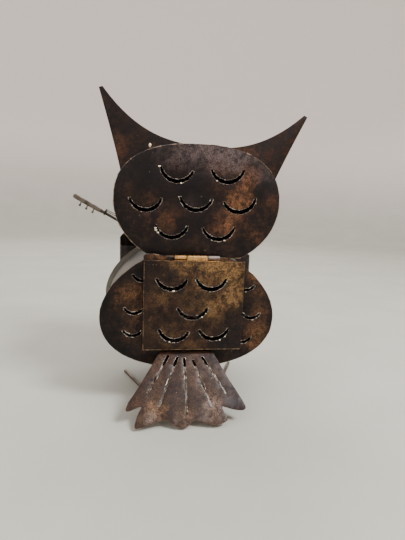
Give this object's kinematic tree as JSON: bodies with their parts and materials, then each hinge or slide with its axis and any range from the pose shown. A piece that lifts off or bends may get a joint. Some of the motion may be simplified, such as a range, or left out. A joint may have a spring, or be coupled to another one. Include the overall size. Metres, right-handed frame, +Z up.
{
  "type": "owl tealight lantern figurine",
  "caption": "Free-standing sheet-metal owl figurine playing a guitar, a tealight lantern with crescent light slots, a hinged candle door in its back and a fan tail as a prop.",
  "frame": {"origin": "on the table, under the middle of the body drum", "axes": "+Z up, the owl faces -Y and its candle door and tail face +Y, +X is the owl's left, where the guitar's headstock is"},
  "size_m": [0.1673, 0.1243, 0.2],
  "materials": {
    "antiqued_paint": "satin antiqued bronze paint",
    "dark_paint": "satin dark brown paint",
    "gold_paint": "satin rubbed gold paint",
    "tail_paint": "satin reddish brown paint",
    "bare_sheet": "thinly painted steel sheet",
    "rod_steel": "browned steel rod",
    "hinge_brass": "brushed plated hinge"
  },
  "bodies": {
    "owl": {"body_back_plate": "antiqued_paint", "body_rim": "bare_sheet", "body_front_plate": "dark_paint", "candle_shelf": "bare_sheet", "candle_pan": "bare_sheet", "head_back_plate": "antiqued_paint", "head_rim": "bare_sheet", "face_plate": "dark_paint", "eye_rings": "gold_paint", "eye_domes": "gold_paint", "beak": "gold_paint", "left_wing": "antiqued_paint", "right_wing": "antiqued_paint", "tail": "tail_paint", "left_foot": "rod_steel", "right_foot": "rod_steel", "plate_leaf": "hinge_brass", "hinge_pin": "rod_steel", "guitar_top": "gold_paint", "guitar_rib": "antiqued_paint", "guitar_back": "antiqued_paint", "guitar_neck": "rod_steel", "guitar_headstock": "rod_steel", "tuning_pegs": "rod_steel", "guitar_nut": "rod_steel", "guitar_bridge": "rod_steel", "guitar_strings": "rod_steel"},
    "door": {"door_panel": "antiqued_paint", "door_leaf": "hinge_brass"}
  },
  "joints": [
    {"name": "door_hinge", "type": "hinge", "parent": "owl", "child": "door", "pos_m": [-0.0045, 0.0352, 0.091], "axis": [1, 0, 0], "range_deg": [0, 95]}
  ]
}
